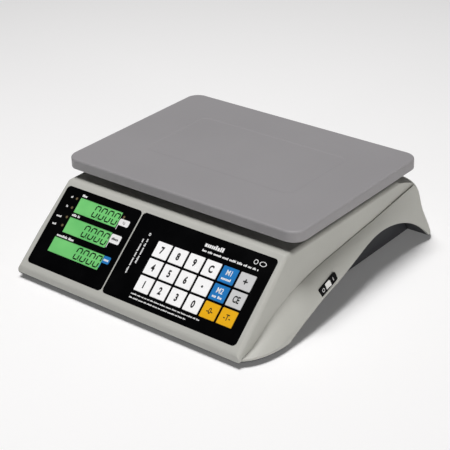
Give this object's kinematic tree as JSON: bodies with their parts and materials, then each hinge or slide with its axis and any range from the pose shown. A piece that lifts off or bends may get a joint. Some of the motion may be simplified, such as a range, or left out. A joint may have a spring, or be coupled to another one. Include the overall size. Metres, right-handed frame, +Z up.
{
  "type": "price-computing bench scale",
  "caption": "Low bench weighing scale: flat platter over a flared grey housing, sloped front panel with read-outs and keys, screw feet.",
  "frame": {"origin": "on the table under the centre of the scale's outline", "axes": "+X to the right, +Y to the rear, +Z up, seen from the operator at the front"},
  "size_m": [0.352, 0.3564, 0.112],
  "materials": {
    "housing_grey": "fine moulded texture",
    "platter_grey": "fine moulded texture",
    "base_black": "satin",
    "sheet_black": "printed polyester film",
    "lcd_green": "lit liquid crystal glass",
    "diffuser_white": "milky",
    "lamp_amber": "clear tinted",
    "key_white": "satin",
    "key_blue": "satin",
    "key_grey": "satin",
    "key_yellow": "satin",
    "rocker_white": "gloss",
    "inlet_black": "satin",
    "board_green": "solder mask",
    "dome_steel": "spring steel",
    "screw_steel": "zinc plated",
    "strap_steel": "zinc plated",
    "battery_case": "moulded",
    "vial_glass": "clear",
    "cell_aluminium": "machined",
    "pad_rubber": "matt",
    "foot_black": "moulded"
  },
  "bodies": {
    "housing": {"upper_housing": "housing_grey", "lower_base": "base_black", "housing_screws": "screw_steel", "display_window": "sheet_black", "keypad_overlay": "sheet_black", "lcd_weight": "lcd_green", "lcd_unit_price": "lcd_green", "lcd_total": "lcd_green", "lcd_backlights": "diffuser_white", "indicator_lamps": "lamp_amber", "display_board": "board_green", "keypad_board": "board_green", "key_domes": "dome_steel", "main_board": "board_green", "board_screws": "screw_steel", "battery": "battery_case", "battery_strap": "strap_steel", "power_inlet": "inlet_black", "switch_plate": "sheet_black", "switch_housing": "inlet_black", "level_holder": "base_black", "level_vial": "vial_glass", "rear_display_window": "sheet_black", "rear_lcds": "lcd_green", "rear_display_board": "board_green", "load_cell": "cell_aluminium", "load_cell_spacer": "cell_aluminium", "cell_base_screws": "screw_steel"},
    "carrier": {"platter_support": "base_black", "load_column": "cell_aluminium", "cell_top_screws": "screw_steel", "platter_pads": "pad_rubber"},
    "platter": {"platter": "platter_grey"},
    "rocker": {"power_rocker": "rocker_white"},
    "key_7": {"key_7": "key_white"},
    "key_8": {"key_8": "key_white"},
    "key_9": {"key_9": "key_white"},
    "key_clear": {"key_clear": "key_white"},
    "key_recall": {"key_recall": "key_blue"},
    "key_sum": {"key_sum": "key_grey"},
    "key_4": {"key_4": "key_white"},
    "key_5": {"key_5": "key_white"},
    "key_6": {"key_6": "key_white"},
    "key_point": {"key_point": "key_white"},
    "key_store": {"key_store": "key_blue"},
    "key_reset": {"key_reset": "key_grey"},
    "key_1": {"key_1": "key_white"},
    "key_2": {"key_2": "key_white"},
    "key_3": {"key_3": "key_white"},
    "key_0": {"key_0": "key_white"},
    "key_zero": {"key_zero": "key_yellow"},
    "key_tare": {"key_tare": "key_yellow"},
    "foot_front_left_sole": {"foot_front_left_sole": "pad_rubber"},
    "foot_front_left_stud": {"foot_front_left_stud": "foot_black"},
    "foot_front_right_sole": {"foot_front_right_sole": "pad_rubber"},
    "foot_front_right_stud": {"foot_front_right_stud": "foot_black"},
    "foot_rear_left_sole": {"foot_rear_left_sole": "pad_rubber"},
    "foot_rear_left_stud": {"foot_rear_left_stud": "foot_black"},
    "foot_rear_right_sole": {"foot_rear_right_sole": "pad_rubber"},
    "foot_rear_right_stud": {"foot_rear_right_stud": "foot_black"}
  },
  "joints": [
    {"name": "carrier_sink", "type": "slide", "parent": "housing", "child": "carrier", "axis": [0, 0, -1], "range_m": [0, 0.001], "stiffness_N_per_m": 60000, "springref_m": -0.0006, "deforming": ["load_cell"]},
    {"name": "platter_lift", "type": "slide", "parent": "carrier", "child": "platter", "axis": [0, 0, 1], "range_m": [0, 0.06]},
    {"name": "rocker_tip", "type": "hinge", "parent": "housing", "child": "rocker", "pos_m": [0.16769, -0.0452, 0.03767], "axis": [-0.2347, -0.2419, 0.9415], "range_deg": [0, 14]},
    {"name": "key_7_press", "type": "slide", "parent": "housing", "child": "key_7", "axis": [0, 0.6534, -0.757], "range_m": [0, 0.0008], "stiffness_N_per_m": 900, "springref_m": -0.0004},
    {"name": "key_8_press", "type": "slide", "parent": "housing", "child": "key_8", "axis": [0, 0.6534, -0.757], "range_m": [0, 0.0008], "stiffness_N_per_m": 900, "springref_m": -0.0004},
    {"name": "key_9_press", "type": "slide", "parent": "housing", "child": "key_9", "axis": [0, 0.6534, -0.757], "range_m": [0, 0.0008], "stiffness_N_per_m": 900, "springref_m": -0.0004},
    {"name": "key_clear_press", "type": "slide", "parent": "housing", "child": "key_clear", "axis": [0, 0.6534, -0.757], "range_m": [0, 0.0008], "stiffness_N_per_m": 900, "springref_m": -0.0004},
    {"name": "key_recall_press", "type": "slide", "parent": "housing", "child": "key_recall", "axis": [0, 0.6534, -0.757], "range_m": [0, 0.0008], "stiffness_N_per_m": 900, "springref_m": -0.0004},
    {"name": "key_sum_press", "type": "slide", "parent": "housing", "child": "key_sum", "axis": [0, 0.6534, -0.757], "range_m": [0, 0.0008], "stiffness_N_per_m": 900, "springref_m": -0.0004},
    {"name": "key_4_press", "type": "slide", "parent": "housing", "child": "key_4", "axis": [0, 0.6534, -0.757], "range_m": [0, 0.0008], "stiffness_N_per_m": 900, "springref_m": -0.0004},
    {"name": "key_5_press", "type": "slide", "parent": "housing", "child": "key_5", "axis": [0, 0.6534, -0.757], "range_m": [0, 0.0008], "stiffness_N_per_m": 900, "springref_m": -0.0004},
    {"name": "key_6_press", "type": "slide", "parent": "housing", "child": "key_6", "axis": [0, 0.6534, -0.757], "range_m": [0, 0.0008], "stiffness_N_per_m": 900, "springref_m": -0.0004},
    {"name": "key_point_press", "type": "slide", "parent": "housing", "child": "key_point", "axis": [0, 0.6534, -0.757], "range_m": [0, 0.0008], "stiffness_N_per_m": 900, "springref_m": -0.0004},
    {"name": "key_store_press", "type": "slide", "parent": "housing", "child": "key_store", "axis": [0, 0.6534, -0.757], "range_m": [0, 0.0008], "stiffness_N_per_m": 900, "springref_m": -0.0004},
    {"name": "key_reset_press", "type": "slide", "parent": "housing", "child": "key_reset", "axis": [0, 0.6534, -0.757], "range_m": [0, 0.0008], "stiffness_N_per_m": 900, "springref_m": -0.0004},
    {"name": "key_1_press", "type": "slide", "parent": "housing", "child": "key_1", "axis": [0, 0.6534, -0.757], "range_m": [0, 0.0008], "stiffness_N_per_m": 900, "springref_m": -0.0004},
    {"name": "key_2_press", "type": "slide", "parent": "housing", "child": "key_2", "axis": [0, 0.6534, -0.757], "range_m": [0, 0.0008], "stiffness_N_per_m": 900, "springref_m": -0.0004},
    {"name": "key_3_press", "type": "slide", "parent": "housing", "child": "key_3", "axis": [0, 0.6534, -0.757], "range_m": [0, 0.0008], "stiffness_N_per_m": 900, "springref_m": -0.0004},
    {"name": "key_0_press", "type": "slide", "parent": "housing", "child": "key_0", "axis": [0, 0.6534, -0.757], "range_m": [0, 0.0008], "stiffness_N_per_m": 900, "springref_m": -0.0004},
    {"name": "key_zero_press", "type": "slide", "parent": "housing", "child": "key_zero", "axis": [0, 0.6534, -0.757], "range_m": [0, 0.0008], "stiffness_N_per_m": 900, "springref_m": -0.0004},
    {"name": "key_tare_press", "type": "slide", "parent": "housing", "child": "key_tare", "axis": [0, 0.6534, -0.757], "range_m": [0, 0.0008], "stiffness_N_per_m": 900, "springref_m": -0.0004},
    {"name": "foot_front_left_travel", "type": "slide", "parent": "housing", "child": "foot_front_left_sole", "axis": [0, 0, -1], "range_m": [0, 0.006]},
    {"name": "foot_front_left_turn", "type": "hinge", "parent": "foot_front_left_sole", "child": "foot_front_left_stud", "pos_m": [-0.12, -0.145, 0.004], "axis": [0, 0, 1], "range_deg": [0, 2160]},
    {"name": "foot_front_right_travel", "type": "slide", "parent": "housing", "child": "foot_front_right_sole", "axis": [0, 0, -1], "range_m": [0, 0.006]},
    {"name": "foot_front_right_turn", "type": "hinge", "parent": "foot_front_right_sole", "child": "foot_front_right_stud", "pos_m": [0.12, -0.145, 0.004], "axis": [0, 0, 1], "range_deg": [0, 2160]},
    {"name": "foot_rear_left_travel", "type": "slide", "parent": "housing", "child": "foot_rear_left_sole", "axis": [0, 0, -1], "range_m": [0, 0.006]},
    {"name": "foot_rear_left_turn", "type": "hinge", "parent": "foot_rear_left_sole", "child": "foot_rear_left_stud", "pos_m": [-0.118, 0.145, 0.004], "axis": [0, 0, 1], "range_deg": [0, 2160]},
    {"name": "foot_rear_right_travel", "type": "slide", "parent": "housing", "child": "foot_rear_right_sole", "axis": [0, 0, -1], "range_m": [0, 0.006]},
    {"name": "foot_rear_right_turn", "type": "hinge", "parent": "foot_rear_right_sole", "child": "foot_rear_right_stud", "pos_m": [0.118, 0.145, 0.004], "axis": [0, 0, 1], "range_deg": [0, 2160]}
  ],
  "couplings": [
    {"joint": "foot_front_left_turn", "follows": "foot_front_left_travel", "rad_per_m": 6283.2},
    {"joint": "foot_front_right_turn", "follows": "foot_front_right_travel", "rad_per_m": 6283.2},
    {"joint": "foot_rear_left_turn", "follows": "foot_rear_left_travel", "rad_per_m": 6283.2},
    {"joint": "foot_rear_right_turn", "follows": "foot_rear_right_travel", "rad_per_m": 6283.2}
  ]
}
